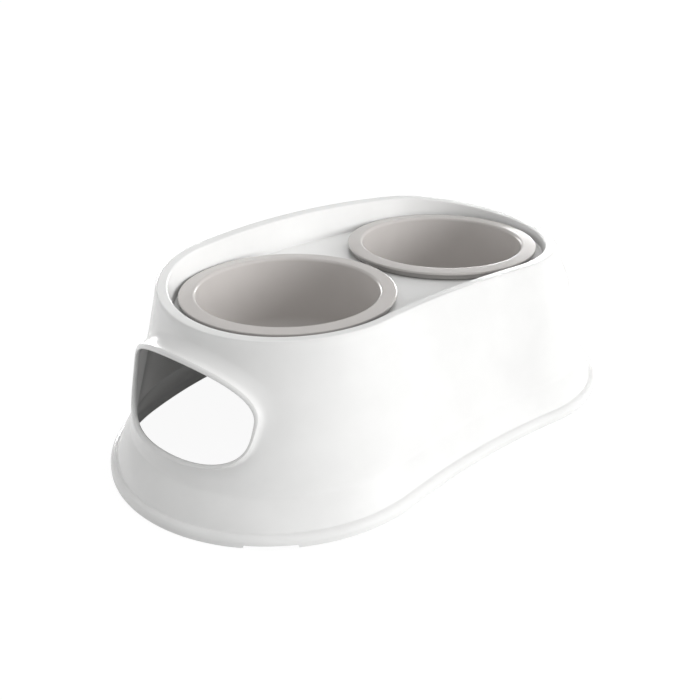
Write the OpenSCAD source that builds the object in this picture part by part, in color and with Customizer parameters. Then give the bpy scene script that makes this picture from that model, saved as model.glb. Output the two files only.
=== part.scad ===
// Double pet bowl: two lift-out bowls in a one-piece raised stand on four rubber feet.
// X runs along the row of bowls, Y runs to the back and Z runs up.
// The origin is on the floor, under the middle of the base.

/* [Bowls] */
// Outer diameter of a bowl's rim
bowl_rim_d = 164; // [156:1:170]
// Width of a bowl's rim, from its outer edge to its mouth
bowl_rim_w = 13; // [10:0.5:16]
// Depth of a bowl inside
bowl_depth = 61; // [54:1:66]
// Thickness of a bowl's wall
bowl_t = 2.4; // [1.8:0.1:3]
// Slope of a bowl's side, in degrees from upright
bowl_slope = 7; // [4:1:9]
// Radius between a bowl's side and its floor
bowl_corner_r = 14; // [10:1:20]
// Radius of the rounded edge of a bowl's mouth
mouth_edge_r = 2.6; // [1.2:0.1:3.2]
// Height of the rolled edge of a bowl's rim
bowl_edge_h = 2.4; // [2.2:0.1:4]
// How far the skirt that a bowl rests on is set in from its rim's edge
skirt_in = 2.5; // [2:0.1:4]
// Thickness of a bowl's rim
bowl_rim_t = 2; // [1.6:0.1:2.4]
// Height of the standing ring under a bowl
bowl_ring_h = 1.6; // [1:0.1:2.4]
// Gap between the two bowls' rims
bowl_gap = 8; // [5:1:12]

/* [Rim and tray] */
// Height of the bowls' rims above the floor
bowl_top_h = 126.5; // [118:0.5:136]
// Thickness of the stand's wall
wall_t = 2.5; // [2:0.1:3]
// Width of the flat band on top of the rim
band_w = 8.4; // [7.4:0.1:10]
// Radius of the band's two edges
band_edge_r = 1.4; // [0.8:0.1:2]
// Gap between a bowl's rim and the band, at the ends
end_gap = 5.9; // [5:0.1:8]
// Gap between the bowls' rims and the band, at the back
back_gap = 14.1; // [11:0.1:18]
// Gap between the bowls' rims and the band, at the front waist
waist_gap = 1.6; // [0.6:0.1:3]
// How far the rim's end arcs are centred outside the bowls
end_shift = 1.2; // [0:0.1:3.5]
// Height of the band above the bowls' rims, at the front waist
band_front_up = 2.7; // [1:0.1:6]
// Height of the band above the bowls' rims, beside the bowls
band_mid_up = 4.5; // [3:0.1:8]
// Height of the band above the bowls' rims, at the back
band_back_up = 20; // [14:0.5:26]
// Slope of the wall inside the band, in degrees from upright
inner_slope = 10; // [6:1:14]
// Depth of the tray below the bowls' rims
tray_down = 6.8; // [6:0.1:8]
// Radius where the tray meets the wall inside the band
tray_fillet_r = 1.2; // [0.8:0.1:2]
// Clearance round a bowl in its hole
seat_clear = 0.8; // [0.5:0.1:1.2]
// Clearance under a bowl's skirt on the tray
seat_gap = 0.2; // [0.1:0.1:0.4]

/* [Wall and base] */
// How much wider the base's end arcs are than the rim's
end_spread_r = 29.6; // [24:0.1:34]
// How much further out the base's end arcs are centred
end_spread_x = 16.3; // [10:0.1:20]
// How much further back the base reaches than the rim
back_spread = 37.5; // [30:0.5:42]
// How much further forward the base reaches at the waist
waist_spread = 33; // [28:0.2:36]
// How far the rim's end arcs are centred in front of the bowls
rim_shift_y = 1.1; // [0:0.1:3]
// How far the base's end arcs are centred in front of the bowls
base_shift_y = 5.6; // [4:0.1:8]
// Height of the lip round the base
lip_h = 8; // [6:0.5:10]
// How far the lip stands out
lip_out = 5.4; // [4:0.1:6.5]
// Length of the relief cut under the lip at each corner
relief_l = 37; // [28:1:44]
// Height of that relief
relief_h = 2; // [1:0.1:3]

/* [Hand holes] */
// Distance from a hand hole's front and back edges to the sides of the base's end
hole_margin = 63.2; // [62:0.1:76]
// Height of wall between a hand hole and the bowls' rims
hole_below = 16.2; // [15:0.1:24]
// Height of wall between the lip and a hand hole
hole_above = 34.8; // [32:0.1:44]
// How far a hand hole is centred in front of the bowls
hole_front = 13.2; // [6:0.1:14]
// How far a hand hole's edge stands out of the wall, at its middle
collar_out = 4.1; // [2:0.1:5]
// Width of the flare round a hand hole
collar_w = 11; // [8:0.5:12]
// Thickness of the rolled edge round a hand hole
edge_t = 4.4; // [3.4:0.1:5]

/* [Feet] */
// Diameter of a rubber foot
foot_d = 12; // [10:0.5:14]
// Height of a rubber foot
foot_h = 5; // [4:0.5:6]
// How far a foot stands below the lip
foot_out = 1; // [0.6:0.1:1.6]
// Thickness of the socket round a foot
socket_t = 2; // [1.5:0.1:3]
// How much wider a foot is than its socket, all round
foot_press = 0.1; // [0.05:0.05:0.2]

/* [Hidden] */
$fn = 96;
// Overrun of every cut past the face that it goes through
cut = 1;

// Steps along the back arc, an end arc and the waist arc, over half the outline
back_n = 8;
end_n = 25;
waist_n = 9;
half_n = back_n + end_n + waist_n;
ring_n = 2 * half_n;

// Rows of the wall between the rim and the skirt, and down the skirt
wall_rows = 8;
skirt_rows = 4;
// Share of the wall's height that the skirt takes, and of its spread that is above the skirt
skirt_share = 0.165;
above_skirt_share = 0.71;
// Crown of the wall above the skirt at the front and at the back, as a share of its spread
front_crown_share = 0.5;
back_crown_share = -0.3;
// How fast the skirt rounds over towards the lip
skirt_power_share = 1.45;
// The lip's rounded section: how far out and how high, as shares of the lip
lip_shares = [[1, 0], [1, 0.4], [0.9, 0.7], [0.62, 0.9], [0.25, 0.99]];

// Sizes of the bowls
bowl_r = bowl_rim_d / 2;
mouth_r = bowl_r - bowl_rim_w;
bowl_x = bowl_r + bowl_gap / 2;
// Rise of a bowl's rim from its outer edge to its mouth
rim_crown = bowl_rim_t / 5;
// Radius of the rounded outer edge of a bowl's rim
rim_edge_r = bowl_rim_t / 2;
skirt_t = bowl_t * 3 / 4;
skirt_r = bowl_r - skirt_in;
skirt_h = tray_down - seat_gap;
side_n = [cos(bowl_slope), -sin(bowl_slope)];
mouth_c = [mouth_r + mouth_edge_r, rim_crown - mouth_edge_r];
// The plane of a bowl's inner side, as a distance along its slope
side_at = side_n * mouth_c - mouth_edge_r;
corner_z = bowl_corner_r - bowl_depth;
corner_x = (side_at - bowl_corner_r - side_n[1] * corner_z) / side_n[0];
// The outer radius of a bowl's side just under its rim
neck_r = (side_at + bowl_t + side_n[1] * bowl_rim_t) / side_n[0];
ring_t = bowl_t;
ring_r = corner_x - bowl_t / 2;

// Levels of the stand, from the floor up
lip_z = foot_out;
base_z = lip_z + lip_h;
tray_z = bowl_top_h - tray_down;
under_z = tray_z - wall_t;

// An outline: end arc centre x and y, end arc radius, back y and waist y
rim_o = [bowl_x + end_shift, -rim_shift_y, bowl_r + end_gap + band_w,
         bowl_r + back_gap + band_w, -(bowl_r + waist_gap + band_w)];
base_o = [rim_o[0] + end_spread_x, -base_shift_y, rim_o[2] + end_spread_r,
          rim_o[3] + back_spread, rim_o[4] - waist_spread];

// The box of the base, front and back, and the shift that centres it
front_y = base_o[1] - base_o[2] - lip_out;
back_y = base_o[3] + lip_out;
mid_y = (front_y + back_y) / 2;

// Centre y of the back arc, and centre y of the waist arc, both tangent to the end arcs
function back_c(o) = let (m = o[3] - o[2]) (m * m - o[0] * o[0] - o[1] * o[1]) / (2 * (m - o[1]));
function waist_r(o) = let (a = o[1] - o[4]) (o[0] * o[0] + a * a - o[2] * o[2]) / (2 * (o[2] - a));
function waist_c(o) = o[4] - waist_r(o);

// Point k of half an outline, from the middle of the back round an end to the middle of the waist
function half_point(o, k) =
    let (bc = back_c(o), wc = waist_c(o), br = o[3] - bc, wr = waist_r(o),
         bt = atan2(o[0], o[1] - bc), wt = atan2(o[0], o[1] - wc))
    k <= back_n ? let (t = bt * k / back_n) [br * sin(t), bc + br * cos(t)]
    : k <= back_n + end_n
        ? let (t = bt + (180 + wt - bt) * (k - back_n) / end_n) [o[0] + o[2] * sin(t), o[1] + o[2] * cos(t)]
        : let (t = wt * (1 - (k - back_n - end_n) / waist_n)) [wr * sin(t), wc + wr * cos(t)];
function outline_point(o, k) =
    k <= half_n ? half_point(o, k) : let (p = half_point(o, ring_n - k)) [-p[0], p[1]];
function grown(o, w) = [o[0], o[1], o[2] + w, o[3] + w, o[4] - w];
function outline(o) = [for (k = [0:ring_n - 1]) outline_point(o, k)];

// Height of the band over a y: a curve through its front, middle and back heights
band_bend = (band_back_up - band_mid_up) / rim_o[3];
band_lean = (band_mid_up - band_front_up) / -rim_o[4];
band_curve = (band_bend - band_lean) / (rim_o[3] - rim_o[4]);
function band_z(y) = bowl_top_h + band_mid_up + y * (band_lean + band_curve * (y - rim_o[4]));

// Spread of the wall, from 0 at the rim to 1 at the base line, over its height from 0 to 1
function crown(y) = y < 0 ? front_crown_share * y / rim_o[4] : back_crown_share * y / rim_o[3];
function spread(t, y) =
    let (w = 1 - skirt_share, s = min(t / w, 1), f = min(max((t - w) / skirt_share, 0), 1))
    above_skirt_share * (s + crown(y) * s * (1 - s))
    + (1 - above_skirt_share) * (1 - pow(1 - f, skirt_power_share));
function wall_outline(u) = rim_o + (base_o - rim_o) * u;
rim_ys = [for (k = [0:ring_n - 1]) outline_point(rim_o, k)[1]];

// A ring of the outer wall, moved inwards by w and down from the band by at least drop
function wall_ring(t, w, drop = 0) = [for (k = [0:ring_n - 1])
    let (p = outline_point(grown(wall_outline(spread(t, rim_ys[k])), -w), k), top = band_z(rim_ys[k]))
    [p[0], p[1], min(top + (base_z - top) * t, top - drop)]];
// A ring of the band, moved inwards from the rim by w and down by drop
function band_ring(w, drop) = [for (k = [0:ring_n - 1])
    let (p = outline_point(grown(rim_o, -w), k)) [p[0], p[1], band_z(p[1]) - drop]];
// A ring of the sloped wall inside the band, at height z, moved inwards by w
function inner_ring(z, w) = [for (k = [0:ring_n - 1])
    let (p = outline_point(grown(rim_o, -(band_w + w + tan(inner_slope) * (band_z(rim_ys[k]) - z))), k))
    [p[0], p[1], z]];
// A flat ring, out from the base line by w, at height z
function base_ring(w, z) = [for (p = outline(grown(base_o, w))) [p[0], p[1], z]];

function wall_rows_down() = [for (i = [1:wall_rows]) (1 - skirt_share) * i / wall_rows];
function skirt_rows_down() = [for (i = [1:skirt_rows]) 1 - skirt_share + skirt_share * i / skirt_rows];
rows_down = concat(wall_rows_down(), skirt_rows_down());

// Rings from the tray's edge over the band, down the outside, under the lip and up the inside
stand_rings = concat(
    [inner_ring(tray_z, tray_fillet_r),
     inner_ring(tray_z + tray_fillet_r * (1 - cos(45)), tray_fillet_r * (1 - sin(45))),
     inner_ring(tray_z + tray_fillet_r, 0),
     band_ring(band_w, band_edge_r),
     band_ring(band_w - band_edge_r * (1 - cos(45)), band_edge_r * (1 - sin(45))),
     band_ring(band_w - band_edge_r, 0),
     band_ring(band_edge_r, 0),
     band_ring(band_edge_r * (1 - cos(45)), band_edge_r * (1 - sin(45))),
     band_ring(0, band_edge_r)],
    [for (t = rows_down) wall_ring(t, 0, band_edge_r)],
    [for (i = [len(lip_shares) - 1:-1:0])
        base_ring(lip_out * lip_shares[i][0], lip_z + lip_h * lip_shares[i][1])],
    [base_ring(-wall_t, lip_z)],
    [for (i = [len(rows_down) - 1:-1:0]) wall_ring(rows_down[i], wall_t, wall_t)],
    [band_ring(wall_t, wall_t),
     band_ring(band_w - wall_t, wall_t),
     inner_ring(under_z, -wall_t)]);

// Triangles of a stack of closed rings with a flat cap at each end
function stack_faces(rows, n) = concat(
    [[for (k = [0:n - 1]) k]],
    [for (i = [0:rows - 2], k = [0:n - 1], h = [0, 1])
        let (a = i * n + k, b = i * n + (k + 1) % n)
        h == 0 ? [a, b + n, b] : [a, a + n, b + n]],
    [[for (k = [0:n - 1]) rows * n - 1 - k]]);
module ring_stack(rings) {
    polyhedron(points = [for (r = rings, p = r) p], faces = stack_faces(len(rings), len(rings[0])));
}

// The outline of a hand hole, seen from the side: a rounded top over a squarer bottom
hole_n = 40;
hole_top_power_share = 2;
hole_low_power_share = 3.4;
hole_low_share = 0.522;
hole_w = 2 * (base_o[2] - hole_margin);
hole_h = bowl_top_h - hole_below - hole_above - base_z;
hole_low = hole_h * hole_low_share;
hole_up = hole_h - hole_low;
hole_y = -hole_front;
hole_z = base_z + hole_above + hole_low;
function power(v, e) = sign(v) * pow(abs(v), 2 / e);
function hole_point(a, w) = let (top = sin(a) > 0, e = top ? hole_top_power_share : hole_low_power_share)
    [hole_y + (hole_w / 2 + w) * power(cos(a), e),
     hole_z + ((top ? hole_up : hole_low) + w) * power(sin(a), e)];

// Half length of the stand at a y and height, on its rounded ends
function wall_x(y, z) =
    let (z0 = band_z(y), u0 = spread((z0 - z) / (z0 - base_z), y), o0 = wall_outline(u0),
         y1 = rim_o[1] + (y - o0[1]) * rim_o[2] / o0[2], z1 = band_z(y1),
         u = spread(min(max((z1 - z) / (z1 - base_z), 0), 1), y1), o = wall_outline(u))
    o[0] + sqrt(o[2] * o[2] - (y - o[1]) * (y - o[1]));

// How far the edge of a hand hole stands out: more at the top and towards the back
collar_up_share = 0.9;
collar_back_share = 0.64;
function collar_edge(p) = collar_out * (1 + collar_up_share * (p[1] - hole_z) / hole_up
    + collar_back_share * (p[0] - hole_y) / (hole_w / 2));
// Steps of the flare over its width, and the shallow seat where it runs into the wall
flare_shares = [0, 0.12, 0.3, 0.6, 1];
flare_inset = wall_t / 25;
// Half the flare's thickness, which grows to a bead at the edge
bead_power_share = 6;
function flare_half(q) = wall_t / 2 + (edge_t - wall_t) / 2 * pow(1 - q, bead_power_share) - flare_inset * q;
flare_w = collar_w - edge_t / 2;
// The flare's middle surface, its unit normal and its point on a side, for an edge that stands out by e
function flare_mid(q, e) = [edge_t / 2 + flare_w * q, e * (1 - q) * (1 - q) - wall_t / 2];
function flare_normal(q, e) = let (s = 2 * e * (1 - q) / flare_w) [s, 1] / norm([s, 1]);
function flare_side(q, e, side) = flare_mid(q, e) + side * flare_half(q) * flare_normal(q, e);
// The flare's rounded edge, at an angle from its outer side
function flare_tip(a, e) = let (n = flare_normal(0, e))
    flare_mid(0, e) + edge_t / 2 * (n * cos(a) + [-n[1], n[0]] * sin(a));
function flare_section(e) = concat(
    [for (q = flare_shares) flare_side(q, e, 1)],
    [for (i = [len(flare_shares) - 1:-1:0]) flare_side(flare_shares[i], e, -1)],
    [for (i = [3:-1:1]) flare_tip(45 * i, e)]);
function collar_ring(a) = [for (c = flare_section(collar_edge(hole_point(a, 0))))
    let (p = hole_point(a, c[0])) [wall_x(p[0], p[1]) + c[1], p[0], p[1]]];
function loop_faces(rows, n) = [for (i = [0:rows - 1], k = [0:n - 1], h = [0, 1])
    let (j = (i + 1) % rows, a = i * n + k, b = i * n + (k + 1) % n, c = j * n + k, d = j * n + (k + 1) % n)
    h == 0 ? [a, d, b] : [a, c, d]];
module collar() {
    rings = [for (i = [0:hole_n - 1]) collar_ring(360 * i / hole_n)];
    polyhedron(points = [for (r = rings, p = r) p], faces = loop_faces(hole_n, len(rings[0])));
}
// The cut that makes room for the flare: a plug through the wall that follows its curve
plug_w = collar_w - wall_t / 4;
plug_in = 2 * wall_t;
plug_out = 4 * wall_t;
plug_middle = [hole_y, hole_z];
function plug_point(p, out) = [wall_x(p[0], p[1]) + out, p[0], p[1]];
function plug_ring(w, out) = [for (i = [0:hole_n - 1]) plug_point(hole_point(360 * i / hole_n, w), out)];
module hand_hole_cut() {
    rings = [plug_ring(-hole_up / 2, -plug_in), plug_ring(plug_w, -plug_in),
             plug_ring(plug_w, plug_out), plug_ring(-hole_up / 2, plug_out)];
    n = hole_n;
    last = 4 * n;
    polyhedron(
        points = concat([for (r = rings, p = r) p],
            [plug_point(plug_middle, -plug_in), plug_point(plug_middle, plug_out)]),
        faces = concat(
            [for (k = [0:n - 1]) [last, k, (k + 1) % n]],
            [for (k = [0:n - 1]) [last + 1, 3 * n + (k + 1) % n, 3 * n + k]],
            [for (i = [0:2], k = [0:n - 1], h = [0, 1]) let (a = i * n + k, b = i * n + (k + 1) % n)
                h == 0 ? [a, a + n, b] : [b, a + n, b + n]]));
}

// Feet stand inside the base's end arcs, beside the reliefs under the lip
foot_angle = 35;
relief_angle = 49;
socket_r = foot_d / 2 + socket_t;
socket_top_z = foot_h + wall_t;
foot_from_end = base_o[2] - wall_t - socket_r + socket_t / 2;
function foot_place(sx, sy) = [sx * (base_o[0] + foot_from_end * cos(foot_angle)),
                               base_o[1] + sy * foot_from_end * sin(foot_angle)];
corners = [[-1, -1], [1, -1], [-1, 1], [1, 1]];

module stand() {
    color("white")
    translate([0, -mid_y, 0])
    difference() {
        union() {
            difference() {
                union() {
                    ring_stack(stand_rings);
                    for (c = corners)
                        translate([foot_place(c[0], c[1])[0], foot_place(c[0], c[1])[1], lip_z])
                            cylinder(r = socket_r, h = socket_top_z - lip_z);
                }
                // The hand holes at both ends
                for (side = [0, 1])
                    mirror([side, 0, 0])
                        hand_hole_cut();
            }
            for (side = [0, 1])
                mirror([side, 0, 0])
                    collar();
        }
        // The holes that the bowls hang in
        for (side = [-1, 1])
            translate([side * bowl_x, 0, under_z - cut])
                cylinder(r = neck_r + seat_clear, h = wall_t + 2 * cut);
        // Sockets for the feet
        for (c = corners)
            translate([foot_place(c[0], c[1])[0], foot_place(c[0], c[1])[1], lip_z - cut])
                cylinder(r = foot_d / 2 - foot_press, h = foot_h - lip_z + cut);
        // Reliefs under the lip
        for (c = corners)
            translate([c[0] * base_o[0], base_o[1], lip_z - cut])
                mirror([c[0] < 0 ? 1 : 0, 0, 0])
                    rotate([0, 0, c[1] * relief_angle])
                        translate([base_o[2] - wall_t - cut, -relief_l / 2, 0])
                            cube([wall_t + lip_out + 2 * cut, relief_l, relief_h + cut]);
    }
}

// Section of a bowl, from the middle of its floor over its rim and back under it
function arc(c, r, a, b, n) = [for (i = [0:n]) c + r * [cos(a + (b - a) * i / n), sin(a + (b - a) * i / n)]];
corner_c = [corner_x, corner_z];
bowl_bottom = -bowl_depth - bowl_t;
bowl_section = concat(
    [[0, -bowl_depth]],
    arc(corner_c, bowl_corner_r, -90, -bowl_slope, 10),
    arc(mouth_c, mouth_edge_r, 180 - bowl_slope, 90, 6),
    arc([bowl_r - rim_edge_r, -rim_edge_r], rim_edge_r, 90, 0, 4),
    [[bowl_r, -bowl_edge_h], [skirt_r, -bowl_edge_h], [skirt_r, -skirt_h], [skirt_r - skirt_t, -skirt_h],
     [skirt_r - skirt_t, -bowl_rim_t], [neck_r, -bowl_rim_t]],
    arc(corner_c, bowl_corner_r + bowl_t, -bowl_slope, -90, 10),
    [[ring_r, bowl_bottom], [ring_r, bowl_bottom - bowl_ring_h],
     [ring_r - ring_t, bowl_bottom - bowl_ring_h], [ring_r - ring_t, bowl_bottom], [0, bowl_bottom]]);
module bowl(side) {
    color("rosybrown")
    translate([side * bowl_x, -mid_y, bowl_top_h])
        rotate_extrude()
            polygon(bowl_section);
}

// A rubber foot: a disc with a bevelled lower edge and a shallow hollow under it
foot_bevel = foot_out / 2;
module foot(c) {
    color("dimgray")
    translate([foot_place(c[0], c[1])[0], foot_place(c[0], c[1])[1] - mid_y, 0])
        rotate_extrude()
            polygon([[0, foot_bevel], [foot_d / 4, foot_bevel], [foot_d / 4 + foot_bevel, 0],
                     [foot_d / 2 - foot_bevel, 0], [foot_d / 2, foot_bevel], [foot_d / 2, foot_h], [0, foot_h]]);
}

stand();
bowl(-1);  // left_bowl
bowl(1);  // right_bowl
foot([-1, -1]);  // foot_front_left
foot([1, -1]);  // foot_front_right
foot([-1, 1]);  // foot_back_left
foot([1, 1]);  // foot_back_right
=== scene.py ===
import math
import bmesh
import bpy
import numpy as np
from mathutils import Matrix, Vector


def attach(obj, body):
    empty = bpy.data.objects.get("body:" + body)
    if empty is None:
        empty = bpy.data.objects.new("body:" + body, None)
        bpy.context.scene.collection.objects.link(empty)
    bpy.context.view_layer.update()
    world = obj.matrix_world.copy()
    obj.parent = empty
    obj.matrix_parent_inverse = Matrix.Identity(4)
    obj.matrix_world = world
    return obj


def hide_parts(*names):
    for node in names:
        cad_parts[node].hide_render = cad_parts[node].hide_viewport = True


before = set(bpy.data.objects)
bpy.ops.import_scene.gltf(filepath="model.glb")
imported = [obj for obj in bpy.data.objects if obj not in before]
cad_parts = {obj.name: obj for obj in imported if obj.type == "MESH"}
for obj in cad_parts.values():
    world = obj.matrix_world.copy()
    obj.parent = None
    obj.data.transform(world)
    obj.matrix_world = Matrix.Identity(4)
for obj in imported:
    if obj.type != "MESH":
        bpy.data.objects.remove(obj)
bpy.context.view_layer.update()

mm = 0.001
mergeGap = 0.002     # mm within which points become one
print("frame:", ", ".join(sorted(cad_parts)))


# Faces of a grid of points, rows by columns; either way round can close on itself
def gridFaces(rows, columns, closeRows=False, closeColumns=False):
    i, k = np.meshgrid(np.arange(rows if closeRows else rows - 1),
                       np.arange(columns if closeColumns else columns - 1), indexing="ij")
    nextRow, nextColumn = (i + 1) % rows, (k + 1) % columns
    return np.stack([i * columns + k, nextRow * columns + k,
                     nextRow * columns + nextColumn, i * columns + nextColumn], -1).reshape(-1, 4)


# A closed, smooth, outward-facing piece from points in mm and four-cornered faces
def makePiece(name, points, faces, material, body, nodes=()):
    mesh = bpy.data.meshes.new(name)
    mesh.from_pydata((np.asarray(points) * mm).tolist(), [], np.asarray(faces).tolist())
    work = bmesh.new()
    work.from_mesh(mesh)
    bmesh.ops.remove_doubles(work, verts=work.verts, dist=mergeGap * mm)
    bmesh.ops.recalc_face_normals(work, faces=work.faces)
    openEdges = sum(not edge.is_manifold for edge in work.edges)
    volume = work.calc_volume(signed=True) / mm ** 3
    work.to_mesh(mesh)
    work.free()
    mesh.polygons.foreach_set("use_smooth", np.ones(len(mesh.polygons), bool))
    mesh.materials.append(material)
    piece = bpy.data.objects.new(name, mesh)
    bpy.context.scene.collection.objects.link(piece)
    # Weighted normals keep flats flat beside small fillets
    weighted = piece.modifiers.new("weightedNormals", "WEIGHTED_NORMAL")
    weighted.weight = 60
    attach(piece, body)
    if nodes:
        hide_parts(*nodes)
    print(f"{name}: {len(mesh.polygons)} faces, {openEdges} open edges, {volume / 1000:.1f} cm3")
    return piece


# An outline through corners (x, z, radius): each corner gives way to a tangent arc of its radius,
# with the given points or, on a large arc, more
def roundedProfile(corners, steps=6, pointsPerMm=1.2):
    corners = np.asarray(corners, float)
    path = [corners[:1, :2]]
    for before, here, after in zip(corners[:-2], corners[1:-1], corners[2:]):
        a, b = before[:2] - here[:2], after[:2] - here[:2]
        a, b = a / np.linalg.norm(a), b / np.linalg.norm(b)
        half = 0.5 * math.acos(np.clip(a @ b, -1, 1))
        middle = here[:2] + (a + b) / np.linalg.norm(a + b) * here[2] / math.sin(half)
        start, end = here[:2] + a * here[2] / math.tan(half), here[:2] + b * here[2] / math.tan(half)
        turn = np.linspace(0, 1, max(steps, int(here[2] * pointsPerMm)))[:, None]
        first, last = start - middle, end - middle
        sweep = math.pi - 2 * half
        arc = (np.sin((1 - turn) * sweep) * first + np.sin(turn * sweep) * last) / math.sin(sweep)
        path.append(middle + arc)
    path.append(corners[-1:, :2])
    return np.concatenate(path)


# A profile (radius, height) carried round an upright line at (x, y)
def revolved(profile, x, y, steps):
    angle = np.arange(steps) * 2 * np.pi / steps
    radius, height = profile[:, :1], profile[:, 1:]
    points = np.stack([x + radius * np.cos(angle), y + radius * np.sin(angle), height + 0 * angle], -1)
    return points.reshape(-1, 3), gridFaces(len(profile), steps, closeColumns=True)


# sRGB hex to the linear colour that the shader wants
def hexColour(text):
    srgb = np.array([int(text[i:i + 2], 16) for i in (1, 3, 5)]) / 255
    linear = np.where(srgb <= 0.04045, srgb / 12.92, ((srgb + 0.055) / 1.055) ** 2.4)
    return (*linear.tolist(), 1.0)


# One node with its settings; an input takes a value, or a socket that is linked to it
def addNode(tree, kind, inputs=None, **settings):
    node = tree.nodes.new(kind)
    for key, value in settings.items():
        setattr(node, key, value)
    for key, value in (inputs or {}).items():
        if isinstance(value, bpy.types.NodeSocket):
            tree.links.new(value, node.inputs[key])
        else:
            node.inputs[key].default_value = value
    return node


plasticValues = dict(
    whiteColour="#EFEFEE", whiteShade="#EBEBEA", whiteRoughness=0.2, whiteIor=1.49,
    greyColour="#CBC7C4", greyShade="#C8C4C1", greyRoughness=0.18, greyIor=1.49,
    rubberColour="#2B2B2C", rubberShade="#242425", rubberRoughness=0.75, rubberIor=1.52,
    cloudSize=45.0,      # mm across a patch where the colour and the gloss drift
    cloudRamp=(0.35, 0.65), glossRamp=(0.3, 0.7),   # the noise values between which each one changes
    skinSize=0.9,        # mm between the mould's finest pits, drawn coarser than the real 0.1 mm to show
    skinDepth=0.002,     # mm
    flowSize=14.0,       # mm across the slow swells of a large moulding
    flowDepth=0.008,     # mm
    gapSize=12.0,        # mm within which another face makes a gap
    gapFrom=104.0, gapTo=112.0,     # mm above the floor over which a gap's shade comes in, below the tray
    whiteGapOpen=0.5, greyGapOpen=0.85,       # how open a gap is where its shade ends
    whiteGapShade=0.5, greyGapShade=0.3)      # the shade of a closed gap


# A moulded surface: colour and gloss drift in soft clouds, with a fine pitted skin over slow swells,
# and narrow gaps round the bowls are shaded, as they lose more light than the soft lamps take from them
def mouldedMaterial(name, colour, shade, roughness, ior, pits=1.0, swells=1.0, drift=0.03,
                    gapOpen=0.5, gapShade=1.0):
    v = plasticValues
    material = bpy.data.materials.new(name)
    material.use_nodes = True
    tree = material.node_tree
    shader = tree.nodes["Principled BSDF"]
    shader.inputs["IOR"].default_value = ior
    place = addNode(tree, "ShaderNodeTexCoord").outputs["Object"]
    clouds = addNode(tree, "ShaderNodeTexNoise", {
        "Vector": place, "Scale": 1 / (v["cloudSize"] * mm), "Detail": 3.0, "Roughness": 0.55})
    ramp = addNode(tree, "ShaderNodeValToRGB", {"Fac": clouds.outputs["Fac"]})
    for end, at, tone in zip(ramp.color_ramp.elements, v["cloudRamp"], (shade, colour)):
        end.position, end.color = at, hexColour(tone)
    height = addNode(tree, "ShaderNodeSeparateXYZ", {0: place})
    deepest = addNode(tree, "ShaderNodeMapRange", {
        "Value": height.outputs["Z"], "From Min": v["gapFrom"] * mm, "From Max": v["gapTo"] * mm,
        "To Min": 1.0, "To Max": gapShade})
    openness = addNode(tree, "ShaderNodeAmbientOcclusion", {"Distance": v["gapSize"] * mm}, samples=8)
    gap = addNode(tree, "ShaderNodeMapRange", {
        "Value": openness.outputs["AO"], "From Min": 0.0, "From Max": gapOpen,
        "To Min": deepest.outputs["Result"], "To Max": 1.0})
    shaded = addNode(tree, "ShaderNodeVectorMath", {
        0: ramp.outputs["Color"], "Scale": gap.outputs["Result"]}, operation="SCALE")
    tree.links.new(shaded.outputs["Vector"], shader.inputs["Base Color"])
    gloss = addNode(tree, "ShaderNodeMapRange", {
        "Value": clouds.outputs["Fac"], "From Min": v["glossRamp"][0], "From Max": v["glossRamp"][1],
        "To Min": roughness - drift, "To Max": roughness + drift})
    tree.links.new(gloss.outputs["Result"], shader.inputs["Roughness"])
    skin = addNode(tree, "ShaderNodeTexNoise", {
        "Vector": place, "Scale": 1 / (v["skinSize"] * mm), "Detail": 2.0, "Roughness": 0.6})
    flow = addNode(tree, "ShaderNodeTexNoise", {
        "Vector": place, "Scale": 1 / (v["flowSize"] * mm), "Detail": 1.0, "Roughness": 0.4})
    fine = addNode(tree, "ShaderNodeBump", {"Height": skin.outputs["Fac"], "Strength": 1.0,
                                            "Distance": v["skinDepth"] * pits * mm})
    broad = addNode(tree, "ShaderNodeBump", {"Height": flow.outputs["Fac"], "Strength": 1.0,
                                             "Distance": v["flowDepth"] * swells * mm,
                                             "Normal": fine.outputs["Normal"]})
    tree.links.new(broad.outputs["Normal"], shader.inputs["Normal"])
    return material


# Glossy white polypropylene, injection moulded: a clean white with soft broad highlights
v = plasticValues
whitePlastic = mouldedMaterial("whiteMouldedPolypropylene", v["whiteColour"], v["whiteShade"],
                               v["whiteRoughness"], v["whiteIor"],
                               gapOpen=v["whiteGapOpen"], gapShade=v["whiteGapShade"])
# Satin warm-grey polypropylene, injection moulded: an even taupe with a brighter glint on its edges
greyPlastic = mouldedMaterial("greyMouldedPolypropylene", v["greyColour"], v["greyShade"],
                              v["greyRoughness"], v["greyIor"],
                              gapOpen=v["greyGapOpen"], gapShade=v["greyGapShade"])
# Moulded thermoplastic rubber: near black and matt, with a coarser skin
footRubber = mouldedMaterial("blackMouldedRubber", v["rubberColour"], v["rubberShade"],
                             v["rubberRoughness"], v["rubberIor"], pits=4.0, swells=0.5)
print("materials: white plastic, grey plastic, rubber")

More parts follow.
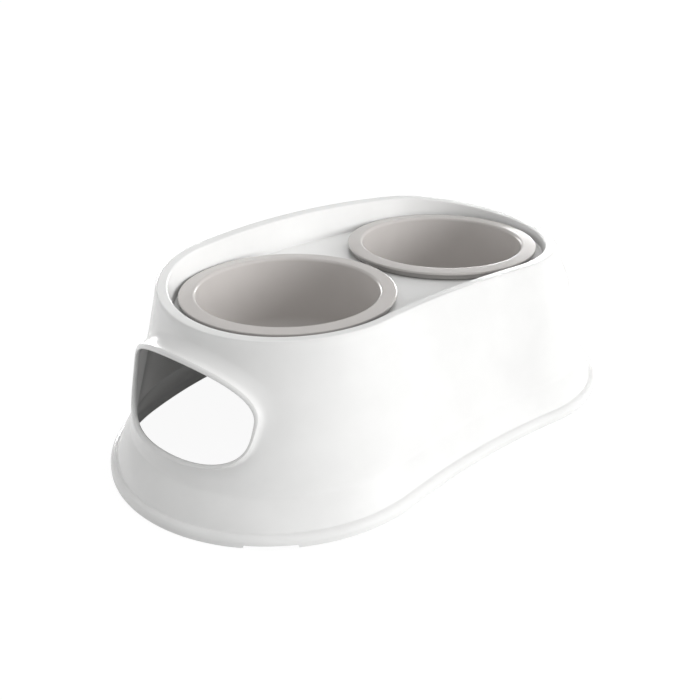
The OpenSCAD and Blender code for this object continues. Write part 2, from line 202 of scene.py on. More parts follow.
# The stand
standValues = dict(
    bowlX=86.0, bowlR=82.0, bowlTop=126.5,             # a bowl's middle, and its rim's radius and height
    bandW=8.4, bandEdgeR=1.4,                          # the flat band on top of the rim
    endGap=5.9, backGap=14.1, waistGap=1.6,            # from the bowls' rims out to the band
    endShift=1.2, rimShiftY=1.1,                       # the end arcs' centres, from the bowls' middles
    frontUp=2.7, midUp=4.5, backUp=20.0,               # the band's heights above the bowls' rims
    endSpreadR=29.6, backSpread=37.5, waistSpread=33.0,   # the base stands this much outside the band
    endSpreadX=16.3, baseShiftY=5.6,
    wallT=2.5,
    skirtShare=0.165, aboveSkirtShare=0.71,            # the skirt's part of the wall's height, and the
    skirtPowerShare=1.45,                              # spread that is reached above it
    frontCrownShare=0.5, backCrownShare=-0.3,          # how hollow or full the slope above the skirt is
    creaseShare=0.01,                                  # half width of the soft crease above the skirt
    lipZ=1.0, lipH=8.0, lipOut=5.4, lipEdgeR=0.6,      # the lip round the base
    lipPower=0.87, lipFlatShare=0.35,                  # the round of the lip, and its upright part
    innerSlope=10.0, trayDown=6.8, trayFilletR=1.2,    # degrees inside the band; the tray under the rims
    bowlHoleR=72.223, bowlHoleEdgeR=0.6,               # the round hole that a bowl hangs in
    seatW=4.0,                                         # the ring of tray turned with a bowl's hole
    reliefL=37.0, reliefH=2.0, reliefAngle=49.0,       # the notches under the lip
    reliefPair=0.12,                                   # degrees from a relief's end to the points beside it
    holeW=125.4, holeUp=31.8, holeLow=34.7,            # the hand hole's width and its two half heights
    holeDown=48.0, holeFront=13.2,                     # its middle, below the bowls' rims and forward
    holeTopPowerShare=2.0, holeLowPowerShare=3.4,      # 2 is an ellipse, and more is squarer
    collarOut=4.1, collarW=11.0,                       # the flare round it, more at the top and the back
    collarUpShare=0.9, collarBackShare=0.64,
    holeEdgeT=4.4, beadPowerShare=14.0,                # the rolled edge of the flare
    beadLift=1.2, beadFrontShare=1.0,                  # its height over the flare, more at the front
    windowBack=70.0, windowFront=-96.0,                # the part of the wall's grid round a hand hole
    windowRows=(1, 28),
    wallTopShares=(0.016, 0.04),                       # the wall's first two rows under the band
    footAngle=35.0, footR=6.0, footH=5.0, footFit=0.1,    # the feet, and the sockets that hold them
    socketT=2.0, socketTopR=0.6, socketEdgeR=0.3, socketFloorR=0.2)
s = standValues
# Points along each stretch of the stand's grids
stepValues = dict(back=24, end=124, waist=30, crease=9, quarter=6, slope=5, band=5, wall=28, skirt=15,
                  lip=13, flare=26, beadRound=14, window=7, middle=40, seatEdge=5, field=16, under=7,
                  socketEdge=4, socketRound=40)
n = stepValues
middleY = 5.25    # the base reaches further back than forward, and its middle is the frame's origin
rimOutline = np.array([s["bowlX"] + s["endShift"], -s["rimShiftY"], s["bowlR"] + s["endGap"] + s["bandW"],
                       s["bowlR"] + s["backGap"] + s["bandW"], -(s["bowlR"] + s["waistGap"] + s["bandW"])])
baseOutline = rimOutline + [s["endSpreadX"], s["rimShiftY"] - s["baseShiftY"], s["endSpreadR"],
                            s["backSpread"], -s["waistSpread"]]
baseZ = s["lipZ"] + s["lipH"]
trayZ = s["bowlTop"] - s["trayDown"]
underZ = trayZ - s["wallT"]


# Half an outline is three tangent arcs: back arc, end arc and waist arc. The five numbers of an
# outline are the end arc's centre x and y and radius, the back y and the waist y. The centres and
# radii of the other two follow from where they touch the end arc.
def arcAngles(outline):
    endX, endY, endR, backY, waistY = outline
    rise, fall = backY - endR, endY - waistY
    backCentre = (rise ** 2 - endX ** 2 - endY ** 2) / (2 * (rise - endY))
    waistR = (endX ** 2 + fall ** 2 - endR ** 2) / (2 * (endR - fall))
    waistCentre = waistY - waistR
    return (backCentre, waistR, waistCentre,
            np.arctan2(endX, endY - backCentre), np.arctan2(endX, endY - waistCentre))


# The point at a share, from 0 to 1, of arc 0, 1 or 2: its centre plus its radius at the turned angle
def outlinePoint(outline, part, share):
    endX, endY, endR, backY, waistY = outline
    backCentre, waistR, waistCentre, backTurn, waistTurn = arcAngles(outline)
    backR = backY - backCentre
    a, b, c = backTurn * share, backTurn + (np.pi + waistTurn - backTurn) * share, waistTurn * (1 - share)
    x = np.where(part == 0, backR * np.sin(a),
                 np.where(part == 1, endX + endR * np.sin(b), waistR * np.sin(c)))
    y = np.where(part == 0, backCentre + backR * np.cos(a),
                 np.where(part == 1, endY + endR * np.cos(b), waistCentre + waistR * np.cos(c)))
    return x, y


# An outline moved outwards by w all round
def grown(outline, w):
    return np.stack([outline[0], outline[1], outline[2] + w, outline[3] + w, outline[4] - w])


# Height of the band over a y: a parabola through its front, middle and back heights
bandBend = (s["backUp"] - s["midUp"]) / rimOutline[3]
bandLean = (s["midUp"] - s["frontUp"]) / -rimOutline[4]
bandCurve = (bandBend - bandLean) / (rimOutline[3] - rimOutline[4])


# The parabola itself: the middle's height, plus y times the front's lean and the curve past the front
def bandHeight(y):
    return s["bowlTop"] + s["midUp"] + y * (bandLean + bandCurve * (y - rimOutline[4]))


# Spread of the wall from 0 at the rim to 1 at the base: a straight slope with a crown that depends
# on y, then a skirt that rounds over. spreadAt softens the crease between them.
def sharpSpread(t, rimY):
    top = 1 - s["skirtShare"]
    down = np.minimum(t / top, 1)
    over = np.clip((t - top) / s["skirtShare"], 0, 1)
    crown = np.where(rimY < 0, s["frontCrownShare"] * rimY / rimOutline[4],
                     s["backCrownShare"] * rimY / rimOutline[3])
    return (s["aboveSkirtShare"] * (down + crown * down * (1 - down))
            + (1 - s["aboveSkirtShare"]) * (1 - (1 - over) ** s["skirtPowerShare"]))


# The mean of the sharp spread over a short reach above and below t
def spreadAt(t, rimY):
    t = np.clip(t, 0, 1)
    reach = np.minimum(s["creaseShare"], np.minimum(t, 1 - t))
    return sum(sharpSpread(t + reach * step, rimY)
               for step in np.linspace(-1, 1, n["crease"])) / n["crease"]


# Stations round the outline: even steps on each arc, with close pairs at the ends of each relief
backSteps, endSteps, waistSteps = n["back"], n["end"], n["waist"]
*_, backTurn, waistTurn = arcAngles(baseOutline)
reliefHalf = math.degrees(math.asin(s["reliefL"] / 2 / (baseOutline[2] + s["lipOut"])))
reliefEnds = [90 + side * s["reliefAngle"] + end * reliefHalf for side in (-1, 1) for end in (-1, 1)]
closePairs = [(math.radians(a + gap) - backTurn) / (np.pi + waistTurn - backTurn)
              for a in reliefEnds for gap in (-s["reliefPair"], s["reliefPair"])]
endShares = np.union1d(np.arange(endSteps) / endSteps, closePairs)
halfPart = np.repeat([0, 1, 2], [backSteps, len(endShares), waistSteps + 1])
halfShare = np.concatenate([np.arange(backSteps) / backSteps, endShares,
                            np.arange(waistSteps + 1) / waistSteps])
halfCount = len(halfPart) - 1
ringCount = 2 * halfCount
station = np.arange(ringCount)
halfStation = np.minimum(station, ringCount - station)
ringPart, ringShare = halfPart[halfStation], halfShare[halfStation]
ringSide = np.where(station <= halfCount, 1, -1)


# One ring: the outline's point at every station, mirrored in x on the left half, at a height
def ringPoints(outline, height):
    x, y = outlinePoint(outline, ringPart, ringShare)
    x, y, z = np.broadcast_arrays(x * ringSide, y, height)
    return np.stack([x, y, z], -1)


spreadShape = (5, 1, 1)
rimRing = rimOutline[:, None]
rimY = ringPoints(rimRing * np.ones((1, ringCount)), 0)[:, 1]
bandZ = bandHeight(rimY)


# Rings of the wall at shares t of its height, moved inwards and held below the band
def wallRings(t, inwards=0.0, drop=0.0):
    t = np.asarray(t)[:, None]
    u = spreadAt(t, rimY[None])
    outline = rimOutline.reshape(spreadShape) + (baseOutline - rimOutline).reshape(spreadShape) * u
    height = np.minimum(bandZ + (baseZ - bandZ) * t, bandZ - drop)
    return ringPoints(grown(outline, -inwards), height)


# Rings of the band, moved inwards and down
def bandRings(inwards, down):
    inwards, down = np.atleast_1d(inwards)[:, None], np.atleast_1d(down)[:, None]
    outline = rimOutline.reshape(spreadShape) * np.ones((1, len(inwards), ringCount))
    points = ringPoints(grown(outline, -inwards), 0)
    points[..., 2] = bandHeight(points[..., 1]) - down
    return points


# Rings of the sloped wall inside the band, at a height and moved inwards
def innerRings(height, inwards):
    height, inwards = np.broadcast_arrays(height, inwards)
    outline = rimOutline.reshape(spreadShape) * np.ones((1,) + height.shape)
    shrink = s["bandW"] + inwards + math.tan(math.radians(s["innerSlope"])) * (bandZ - height)
    return ringPoints(grown(outline, -shrink), height)


# Rings outside the base line
def baseRings(outwards, height):
    outwards, height = np.broadcast_arrays(outwards, height)
    outline = baseOutline.reshape(spreadShape) * np.ones((1,) + outwards.shape)
    return ringPoints(grown(outline, outwards), height)


quarter = np.linspace(0, np.pi / 2, n["quarter"])[:, None]
footZ = np.full((1, ringCount), trayZ)
fillet, edge = s["trayFilletR"], s["bandEdgeR"]
footRows = innerRings(footZ + fillet * (1 - np.cos(quarter)), fillet * (1 - np.sin(quarter)))
innerTop = bandZ[None] - edge
slopeShare = np.linspace(0, 1, n["slope"])[1:-1, None]
slopeRows = innerRings(footZ + fillet + (innerTop - footZ - fillet) * slopeShare, 0.0 * slopeShare)
sideways, upwards = edge * (1 - np.cos(quarter[:, 0])), edge * (1 - np.sin(quarter[:, 0]))
bandShare = np.linspace(1, 0, n["band"])[1:-1]
bandRows = np.concatenate([
    bandRings(s["bandW"] - sideways, upwards),
    bandRings(edge + (s["bandW"] - 2 * edge) * bandShare, 0 * bandShare),
    bandRings(upwards, sideways)])
skirtTop = 1 - s["skirtShare"]
firstShare, secondShare = s["wallTopShares"]
wallShares = np.concatenate([[firstShare], np.linspace(secondShare, skirtTop, n["wall"]),
                             skirtTop + s["skirtShare"] * np.linspace(0, 1, n["skirt"])[1:]])
wallRows = wallRings(wallShares)
lean = np.linspace(0, 1, n["lip"])[1:, None] * np.pi / 2
lipRound = s["lipFlatShare"] + (1 - s["lipFlatShare"]) * np.cos(lean).clip(0) ** s["lipPower"]
lipRows = baseRings(s["lipOut"] * np.sin(lean) ** s["lipPower"] * np.ones(ringCount),
                    s["lipZ"] + s["lipH"] * lipRound * np.ones(ringCount))
foot = wallRows[-1]
turn = np.degrees(np.arctan2(np.abs(foot[:, 0]) - baseOutline[0], foot[:, 1] - baseOutline[1]))
inRelief = (ringPart == 1) * sum(np.abs(turn - (90 + side * s["reliefAngle"])) < reliefHalf
                                 for side in (-1, 1))
bottomZ = s["lipZ"] + s["reliefH"] * inRelief
lipEdge = s["lipEdgeR"]
sideways, upwards = lipEdge * (1 - np.cos(quarter)), lipEdge * (1 - np.sin(quarter))
lowRows = np.concatenate([
    baseRings(s["lipOut"] - sideways * np.ones(ringCount), bottomZ + upwards),
    baseRings(np.full((1, ringCount), s["lipOut"] / 2), bottomZ[None]),
    baseRings(-s["wallT"] + upwards * np.ones(ringCount), bottomZ + sideways)])
insideRows = wallRings(wallShares[::-1], s["wallT"], s["wallT"])
underRows = np.concatenate([bandRings([s["wallT"], s["bandW"] - s["wallT"]], [s["wallT"], s["wallT"]]),
                            innerRings(np.full((1, ringCount), underZ), -s["wallT"])])
shell = np.concatenate([footRows, slopeRows, bandRows, wallRows, lipRows, lowRows, insideRows, underRows])
firstWallRow = len(footRows) + len(slopeRows) + len(bandRows)
lastInsideRow = len(shell) - len(underRows) - 1
shellFaces = gridFaces(len(shell), ringCount, closeColumns=True)
print("stand:", shell.shape[0], "rings of", ringCount, "points")


# Where the wall of a rounded end is at a y and a height: the share along the end arc is found by
# stepping until the y fits, and the height gives the share of the wall's height
def endWallX(y, z, inwards, rounds=14, leastSine=0.2):
    *_, backTurn, waistTurn = arcAngles(rimOutline)
    sweep = np.pi + waistTurn - backTurn
    middleR = rimOutline[2] + s["endSpreadR"] / 2
    share = (np.arccos(np.clip((y - rimOutline[1]) / middleR, -1, 1)) - backTurn) / sweep
    start, change = [a.reshape((5,) + (1,) * y.ndim) for a in (rimOutline, baseOutline - rimOutline)]
    for _ in range(rounds):
        stationY = rimOutline[1] + rimOutline[2] * np.cos(backTurn + sweep * share)
        top = bandHeight(stationY)
        u = spreadAt((top - z) / (top - baseZ), stationY)
        outline = grown(start + change * u, -inwards)
        x, nowY = outlinePoint(outline, 1, share)
        cosine = (nowY - outline[1]) / outline[2]
        # The sine is held off zero, so that no step is too long
        sine = np.sqrt(np.maximum(1 - cosine ** 2, leastSine ** 2))
        share = share + (nowY - y) / (outline[2] * sweep * sine)
    return x


# The hand hole: a window in the wall's grid is filled with rings that run from the window's edge in
# to the hole, out over its rounded edge and back on the inner side. The flare's middle surface
# stands out by the edge's height times (1 - q) squared over the flare's width.
holeY, holeZ = -s["holeFront"], s["bowlTop"] - s["holeDown"]
topRow, bottomRow = s["windowRows"]     # rows of wallShares
middleRowY = shell[firstWallRow + (topRow + bottomRow) // 2, :, 1]
windowStations = np.flatnonzero((ringSide == 1) & (ringPart == 1) & (middleRowY < s["windowBack"])
                                & (middleRowY > s["windowFront"]))
firstStation, lastStation = windowStations[0], windowStations[-1]
across, down = lastStation - firstStation, bottomRow - topRow
loopRow = np.concatenate([np.full(across, topRow), np.arange(topRow, bottomRow), np.full(across, bottomRow),
                          np.arange(bottomRow, topRow, -1)])
loopStation = np.concatenate([np.arange(firstStation, lastStation), np.full(down, lastStation),
                              np.arange(lastStation, firstStation, -1), np.full(down, firstStation)])
outerIds = (firstWallRow + loopRow) * ringCount + loopStation
innerIds = (lastInsideRow - loopRow) * ringCount + loopStation
flatShell = shell.reshape(-1, 3)
outerLoop, innerLoop = flatShell[outerIds], flatShell[innerIds]
theta = np.arctan2((outerLoop[:, 2] - holeZ) / s["holeLow"], (outerLoop[:, 1] - holeY) / (s["holeW"] / 2))
cosine, sine = np.cos(theta), np.sin(theta)
power = np.where(sine > 0, s["holeTopPowerShare"], s["holeLowPowerShare"])
reach = (np.abs(cosine) ** power + np.abs(sine) ** power) ** (-1 / power)
halfHigh = np.where(sine > 0, s["holeUp"], s["holeLow"])


# The hand hole's edge as y and z, moved outwards by w: a superellipse whose lower half is squarer
def holePoint(w):
    return holeY + (s["holeW"] / 2 + w) * reach * cosine, holeZ + (halfHigh + w) * reach * sine


edgeY, edgeZ = holePoint(0)
standOut = s["collarOut"] * (1 + s["collarUpShare"] * (edgeZ - holeZ) / s["holeUp"]
                             + s["collarBackShare"] * (edgeY - holeY) / (s["holeW"] / 2))
beadLift = s["beadLift"] * (1 - s["beadFrontShare"] * (edgeY - holeY) / (s["holeW"] / 2))
halfT, edgeHalf = s["wallT"] / 2, s["holeEdgeT"] / 2
flareW = s["collarW"] - edgeHalf


# Distance from the hole's edge, height above the wall's outer face and share towards the inner face,
# for a side of 1 outside or -1 inside, or for an angle round the edge. The flare thickens and rises
# to a bead at the edge.
def flareSection(q, side, angle=None):
    slope = 2 * standOut * (1 - q) / flareW
    length = np.hypot(slope, 1)
    normalW, normalH = slope / length, 1 / length
    bead = (1 - q) ** s["beadPowerShare"]
    w, h = edgeHalf + flareW * q, standOut * (1 - q) ** 2 - halfT + beadLift * bead
    half = halfT + (edgeHalf - halfT) * bead
    if angle is None:
        return (w + side * half * normalW, h + side * half * normalH,
                np.full_like(w + standOut, (1 - side) / 2))
    return (w + edgeHalf * (normalW * np.cos(angle) - normalH * np.sin(angle)),
            h + edgeHalf * (normalH * np.cos(angle) + normalW * np.sin(angle)),
            np.full_like(w + standOut, (1 - np.cos(angle)) / 2))


q = (np.linspace(0, 1, n["flare"]) ** 2)[:, None]      # closer together at the bead
tip = np.linspace(0, np.pi, n["beadRound"])[1:-1, None]
outward = flareSection(q, 1)
roundEdge = flareSection(np.zeros_like(tip), 1, tip)
inward = flareSection(q, -1)
rest = np.linspace(0, 1, n["window"])[1:-1, None]


# Rings from the flare's end to the window's edge
def restRings(loop, inwards):
    startY, startZ = holePoint(s["collarW"])
    y = startY + (loop[:, 1] - startY) * rest
    z = startZ + (loop[:, 2] - startZ) * rest
    return np.stack([endWallX(y, z, inwards), y, z], -1)


# Rings of the flare: its section set on the wall's outer face, and blended towards the inner face
def flareRings(section):
    w, h, m = section
    y, z = holePoint(w)
    outerX, innerX = endWallX(y, z, 0.0) + h, endWallX(y, z, s["wallT"]) + h + s["wallT"]
    return np.stack([outerX * (1 - m) + innerX * m, y, z], -1)


filled = np.concatenate([
    outerLoop[None], restRings(outerLoop, 0.0)[::-1], flareRings(outward)[::-1],
    flareRings(roundEdge), flareRings(inward), restRings(innerLoop, s["wallT"]), innerLoop[None]])
loopCount = len(loopStation)
fillFaces = gridFaces(len(filled), loopCount, closeColumns=True)
row, column = shellFaces[:, 0] // ringCount, shellFaces[:, 0] % ringCount
outerWindow = (row >= firstWallRow + topRow) & (row < firstWallRow + bottomRow)
innerWindow = (row >= lastInsideRow - bottomRow) & (row < lastInsideRow - topRow)
rightEnd = (column >= firstStation) & (column < lastStation)
leftEnd = (column >= ringCount - lastStation) & (column < ringCount - firstStation)
shellFaces = shellFaces[~((outerWindow | innerWindow) & (rightEnd | leftEnd))]

# The tray: rays from each bowl's middle to the foot of the inner wall and to the line between the
# bowls, with rows over the tray, down through the hole and back underneath
middleSteps = n["middle"]
topEdge, underEdge = shell[0, :halfCount + 1], shell[-1, :halfCount + 1]
lineShare = np.arange(1, middleSteps)[:, None] / middleSteps
lineTop = topEdge[-1] + (topEdge[0] - topEdge[-1]) * lineShare
lineUnder = underEdge[-1] + (underEdge[0] - underEdge[-1]) * lineShare
topEdge, underEdge = np.concatenate([topEdge, lineTop]), np.concatenate([underEdge, lineUnder])
bowlCentre = np.array([s["bowlX"], 0.0])
ray = topEdge[:, :2] - bowlCentre
rayLength = np.linalg.norm(ray, axis=1)
ray = ray / rayLength[:, None]
bowlHoleR = s["bowlHoleR"]
startR, edgeR = bowlHoleR + s["seatW"], s["bowlHoleEdgeR"]
seatProfile = roundedProfile([(startR, trayZ, 0), (bowlHoleR, trayZ, edgeR), (bowlHoleR, underZ, edgeR),
                              (startR, underZ, 0)], n["seatEdge"])
fieldR = startR + (rayLength - startR) * np.linspace(1, 0, n["field"])[1:-1, None]
fieldX, fieldY = bowlCentre[0] + ray[:, 0] * fieldR, ray[:, 1] * fieldR
field = np.stack([fieldX, fieldY, trayZ + 0 * fieldX], -1)
seat = np.stack([bowlCentre[0] + ray[:, 0] * seatProfile[:, :1], ray[:, 1] * seatProfile[:, :1],
                 seatProfile[:, 1:] + 0 * rayLength], -1)
under = seat[-1] + (underEdge - seat[-1]) * np.linspace(0, 1, n["under"])[1:-1, None, None]
tray = np.concatenate([topEdge[None], field, seat, under, underEdge[None]])
trayFaces = gridFaces(len(tray), tray.shape[1], closeColumns=True)

# The right half's hand hole and tray, mirrored for the left
mirror = np.array([-1.0, 1.0, 1.0])
parts = [(flatShell, shellFaces)]
for grid, faces in ((filled, fillFaces), (tray, trayFaces)):
    points = grid.reshape(-1, 3)
    parts += [(points, faces), (points * mirror, faces[:, ::-1])]
offsets = np.cumsum([0] + [len(points) for points, _ in parts[:-1]])
standPoints = np.concatenate([points for points, _ in parts]) - [0, middleY, 0]
standFaces = np.concatenate([faces + offset for (_, faces), offset in zip(parts, offsets)])
makePiece("standShell", standPoints, standFaces, whitePlastic, "stand", ["stand"])

# The sockets that hold the feet, moulded on the inside of the base
socketR, holeR = s["footR"] + s["socketT"], s["footR"] - s["footFit"]
socketTop = s["footH"] + s["wallT"]
footFromEnd = baseOutline[2] - s["wallT"] - socketR + s["socketT"] / 2
footX = baseOutline[0] + footFromEnd * math.cos(math.radians(s["footAngle"]))
footAside = footFromEnd * math.sin(math.radians(s["footAngle"]))
footYs = {"front": baseOutline[1] - footAside - middleY, "back": baseOutline[1] + footAside - middleY}
socketProfile = roundedProfile([
    (0, socketTop, 0), (socketR, socketTop, s["socketTopR"]), (socketR, s["lipZ"], s["socketEdgeR"]),
    (holeR, s["lipZ"], s["socketEdgeR"]), (holeR, s["footH"], s["socketFloorR"]), (0, s["footH"], 0)],
    n["socketEdge"])
sockets = [revolved(socketProfile, side * footX, y, n["socketRound"])
           for side in (-1, 1) for y in footYs.values()]
socketPoints = np.concatenate([points for points, _ in sockets])
socketFaces = np.concatenate([faces + i * len(sockets[0][0]) for i, (_, faces) in enumerate(sockets)])
makePiece("footSockets", socketPoints, socketFaces, whitePlastic, "stand")

# The bowls: one profile from the middle of the floor over the rim and back under it
bowlValues = dict(rimR=s["bowlR"], rimW=13.0, depth=61.0, wallT=2.4, slope=7.0, cornerR=14.0,
                  mouthEdgeR=2.6, rimRiseShare=0.2, rimT=2.0,
                  edgeH=2.4, edgeLowR=0.6, edgeInR=0.4,    # the rim's turned-down edge
                  skirtIn=2.5, skirtT=1.8, skirtH=6.6,     # the skirt under the rim that the bowl rests on
                  skirtEdgeR=0.5, skirtRootR=0.3, sideRootR=0.6,
                  ringH=1.6, ringRootR=0.5, ringEdgeR=0.4,
                  steps=192, edgeSteps=7)
b = bowlValues
rise = b["rimT"] * b["rimRiseShare"]      # the rim's inner edge stands this much over its outer edge
tilt = math.radians(b["slope"])
mouthX, mouthZ = b["rimR"] - b["rimW"] + b["mouthEdgeR"], rise - b["mouthEdgeR"]
sideAt = math.cos(tilt) * mouthX - math.sin(tilt) * mouthZ - b["mouthEdgeR"]


# Radius of the bowl's side at a height, moved outwards
def sideX(z, outwards=0.0):
    return (sideAt + outwards + math.sin(tilt) * z) / math.cos(tilt)


# Heights below the rim, and the radii of the ring under the floor and of the skirt under the rim
floorZ, bottomFace = -b["depth"], -b["depth"] - b["wallT"]
ringFoot = bottomFace - b["ringH"]
cornerAt = sideAt - b["cornerR"] + math.sin(tilt) * (b["cornerR"] - b["depth"])
ringR = cornerAt / math.cos(tilt) - b["wallT"] / 2
skirtR = b["rimR"] - b["skirtIn"]
skirtInner = skirtR - b["skirtT"]
bowlProfile = roundedProfile([
    (0, floorZ, 0), (sideX(floorZ), floorZ, b["cornerR"]), (sideX(rise), rise, b["mouthEdgeR"]),
    (b["rimR"], 0, b["rimT"] / 2), (b["rimR"], -b["edgeH"], b["edgeLowR"]),
    (skirtR, -b["edgeH"], b["edgeInR"]), (skirtR, -b["skirtH"], b["skirtEdgeR"]),
    (skirtInner, -b["skirtH"], b["skirtEdgeR"]), (skirtInner, -b["rimT"], b["skirtRootR"]),
    (sideX(-b["rimT"], b["wallT"]), -b["rimT"], b["sideRootR"]),
    (sideX(bottomFace, b["wallT"]), bottomFace, b["cornerR"] + b["wallT"]),
    (ringR, bottomFace, b["ringRootR"]), (ringR, ringFoot, b["ringEdgeR"]),
    (ringR - b["wallT"], ringFoot, b["ringEdgeR"]), (ringR - b["wallT"], bottomFace, b["ringRootR"]),
    (0, bottomFace, 0)], b["edgeSteps"])
for side, name in ((-1, "left"), (1, "right")):
    points, faces = revolved(bowlProfile + [0, s["bowlTop"]], side * s["bowlX"], -middleY, b["steps"])
    makePiece(name + "Bowl", points, faces, greyPlastic, name + "_bowl",
              [name + "_bowl"])

# The feet: discs with a bevelled lower edge and a shallow hollow
footValues = dict(radius=s["footR"], height=s["footH"], bevel=0.5, edgeR=0.3, hollowR=0.2,
                  steps=48, edgeSteps=4)
f = footValues
footProfile = roundedProfile([
    (0, f["bevel"], 0), (f["radius"] / 2, f["bevel"], f["edgeR"]),
    (f["radius"] / 2 + f["bevel"], 0, f["hollowR"]), (f["radius"] - f["bevel"], 0, f["edgeR"]),
    (f["radius"], f["bevel"], f["edgeR"]), (f["radius"], f["height"], f["edgeR"]),
    (0, f["height"], 0)], f["edgeSteps"])
for side, name in ((-1, "Left"), (1, "Right")):
    for end, y in footYs.items():
        points, faces = revolved(footProfile, side * footX, y, f["steps"])
        makePiece("foot" + end.capitalize() + name, points, faces, footRubber, "stand",
                  ["foot_" + end + "_" + name.lower()])

# The floor: white, and whiter to the camera, so that it reads as a studio sweep and keeps the shadow
stageValues = dict(
    floorColour="#CDCDCD", floorHalf=30.0,              # the colour that light meets, and m to an edge
    floorGlow=0.94, floorShare=0.1,                     # how it looks to the camera
    floorGleam=0.25,                                    # how it looks in reflections
    skyLight=0.46, skyLow=0.6, skyHigh=0.35, skyTurn=(0.35, 0.8),    # the last three are for reflections
    boxGlow=24.0, boxSize=(0.16, 0.26),                 # a softbox, and the radii between which it fades
    boxTurn=51.0, boxAt=(0.92, 0.37, 0.13),             # degrees to the view's line, and the way beside it
    boxSquash=(1.0, 1.0, 2.5),                          # makes a softbox lower than it is wide
    lampAim=(0.0, 0.0, 0.1),
    # The lamps: an angle is how many degrees of the sky a lamp fills
    keyPower=2.6, keyAngle=40.0, keyFrom=(0.36, -0.93, 0.25),
    topPower=0.82, topAngle=60.0, topFrom=(0.35, -0.05, 0.88),
    fillPower=0.9, fillAngle=40.0, fillFrom=(-0.5, 0.85, 0.15))
g = stageValues
floorMesh = bpy.data.meshes.new("floor")
h = g["floorHalf"]
floorMesh.from_pydata([(-h, -h, 0), (h, -h, 0), (h, h, 0), (-h, h, 0)], [], [(0, 1, 2, 3)])
floor = bpy.data.objects.new("floor", floorMesh)
bpy.context.scene.collection.objects.link(floor)
sweep = bpy.data.materials.new("paintedStudioFloor")
sweep.use_nodes = True
tree = sweep.node_tree
tree.nodes.clear()
rays = addNode(tree, "ShaderNodeLightPath")
paper = addNode(tree, "ShaderNodeBsdfDiffuse", {"Color": hexColour(g["floorColour"])})
gleam = addNode(tree, "ShaderNodeAddShader", {
    0: addNode(tree, "ShaderNodeEmission", {"Color": (1, 1, 1, 1), "Strength": g["floorGleam"]}).outputs[0],
    1: addNode(tree, "ShaderNodeBsdfDiffuse", {"Color": (1, 1, 1, 1)}).outputs[0]})
glow = addNode(tree, "ShaderNodeEmission", {"Color": (1, 1, 1, 1), "Strength": g["floorGlow"]})
shade = addNode(tree, "ShaderNodeBsdfDiffuse", {"Color": (g["floorShare"],) * 3 + (1.0,)})
bright = addNode(tree, "ShaderNodeAddShader", {0: glow.outputs[0], 1: shade.outputs[0]})
unseen = addNode(tree, "ShaderNodeMixShader", {0: rays.outputs["Is Glossy Ray"], 1: paper.outputs[0],
                                               2: gleam.outputs[0]})
both = addNode(tree, "ShaderNodeMixShader", {0: rays.outputs["Is Camera Ray"], 1: unseen.outputs[0],
                                             2: bright.outputs[0]})
addNode(tree, "ShaderNodeOutputMaterial", {"Surface": both.outputs[0]})
floorMesh.materials.append(sweep)

world = bpy.data.worlds.new("studio")
world.use_nodes = True
tree = world.node_tree
tree.nodes.clear()
rays = addNode(tree, "ShaderNodeLightPath")
even = addNode(tree, "ShaderNodeBackground", {"Color": (1, 1, 1, 1), "Strength": g["skyLight"]})
direction = addNode(tree, "ShaderNodeTexCoord").outputs["Generated"]
toward = addNode(tree, "ShaderNodeSeparateXYZ", {0: direction})
fade = addNode(tree, "ShaderNodeMapRange", {
    "Value": toward.outputs["Z"], "From Min": g["skyTurn"][0], "From Max": g["skyTurn"][1],
    "To Min": g["skyLow"], "To Max": g["skyHigh"]})
# Two low softboxes behind the bowls, alike on both sides of the line that the camera looks along;
# only reflections see them, as the bright edges of the bowls' mouths
turned = addNode(tree, "ShaderNodeVectorRotate", {
    "Vector": direction, "Angle": math.radians(-g["boxTurn"])}, rotation_type="Z_AXIS")
split = addNode(tree, "ShaderNodeSeparateXYZ", {0: turned.outputs["Vector"]})
aside = addNode(tree, "ShaderNodeMath", {0: split.outputs["Y"]}, operation="ABSOLUTE")
folded = addNode(tree, "ShaderNodeCombineXYZ", {0: split.outputs["X"], 1: aside.outputs["Value"],
                                                2: split.outputs["Z"]})
squashed = addNode(tree, "ShaderNodeVectorMath", {0: folded.outputs["Vector"], 1: g["boxSquash"]},
                   operation="MULTIPLY")
middle = [a * b for a, b in zip(g["boxAt"], g["boxSquash"])]
away = addNode(tree, "ShaderNodeVectorMath", {0: squashed.outputs["Vector"], 1: middle},
               operation="DISTANCE")
softbox = addNode(tree, "ShaderNodeMapRange", {
    "Value": away.outputs["Value"], "From Min": g["boxSize"][0], "From Max": g["boxSize"][1],
    "To Min": g["boxGlow"], "To Max": 0.0})
gathered = addNode(tree, "ShaderNodeMath", {0: fade.outputs["Result"], 1: softbox.outputs["Result"]})
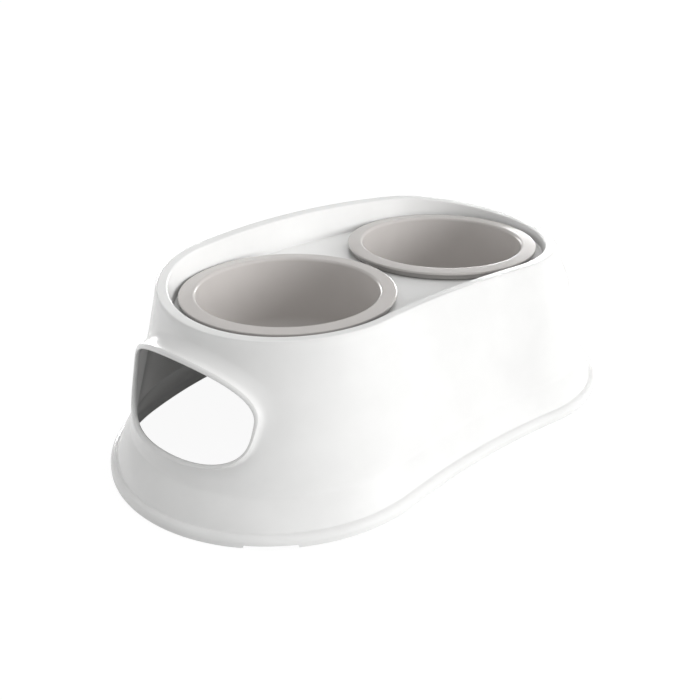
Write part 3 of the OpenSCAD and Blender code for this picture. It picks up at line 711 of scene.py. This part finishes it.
mirrored = addNode(tree, "ShaderNodeBackground", {"Color": (1, 1, 1, 1),
                                                  "Strength": gathered.outputs["Value"]})
white = addNode(tree, "ShaderNodeBackground", {"Color": (1, 1, 1, 1), "Strength": 1.0})
unseen = addNode(tree, "ShaderNodeMixShader", {0: rays.outputs["Is Glossy Ray"], 1: even.outputs[0],
                                               2: mirrored.outputs[0]})
both = addNode(tree, "ShaderNodeMixShader", {0: rays.outputs["Is Camera Ray"], 1: unseen.outputs[0],
                                             2: white.outputs[0]})
addNode(tree, "ShaderNodeOutputWorld", {"Surface": both.outputs[0]})
bpy.context.scene.world = world


# A lamp at a place, turned towards the bowls
def addLamp(name, kind, place, power, **settings):
    lamp = bpy.data.lights.new(name, kind)
    lamp.energy = power
    for key, value in settings.items():
        setattr(lamp, key, value)
    holder = bpy.data.objects.new(name, lamp)
    bpy.context.scene.collection.objects.link(holder)
    holder.location = place
    holder.visible_glossy = False    # the sky alone shows in reflections
    aim = Vector(g["lampAim"]) - Vector(place)
    holder.rotation_euler = aim.to_track_quat("-Z", "Y").to_euler()


addLamp("keySun", "SUN", g["keyFrom"], g["keyPower"], angle=math.radians(g["keyAngle"]))
addLamp("topSun", "SUN", g["topFrom"], g["topPower"], angle=math.radians(g["topAngle"]))
addLamp("fillSun", "SUN", g["fillFrom"], g["fillPower"], angle=math.radians(g["fillAngle"]))
print("stage: floor, world and lamps")

# The camera, solved from the photograph's two bowl rims, rim band and base line
cameraValues = dict(place=(-0.44286, -0.46218, 0.35317), turn=(64.352, 0.0, -42.589),
                    lens=42.296, sensor=36.0)
c = cameraValues
camera = bpy.data.cameras.new("camera")
camera.lens, camera.sensor_width = c["lens"], c["sensor"]
cameraHolder = bpy.data.objects.new("camera", camera)
bpy.context.scene.collection.objects.link(cameraHolder)
cameraHolder.location = c["place"]
cameraHolder.rotation_euler = [math.radians(a) for a in c["turn"]]
bpy.context.scene.camera = cameraHolder
bpy.context.scene.view_settings.view_transform = "Standard"

bpy.context.view_layer.update()
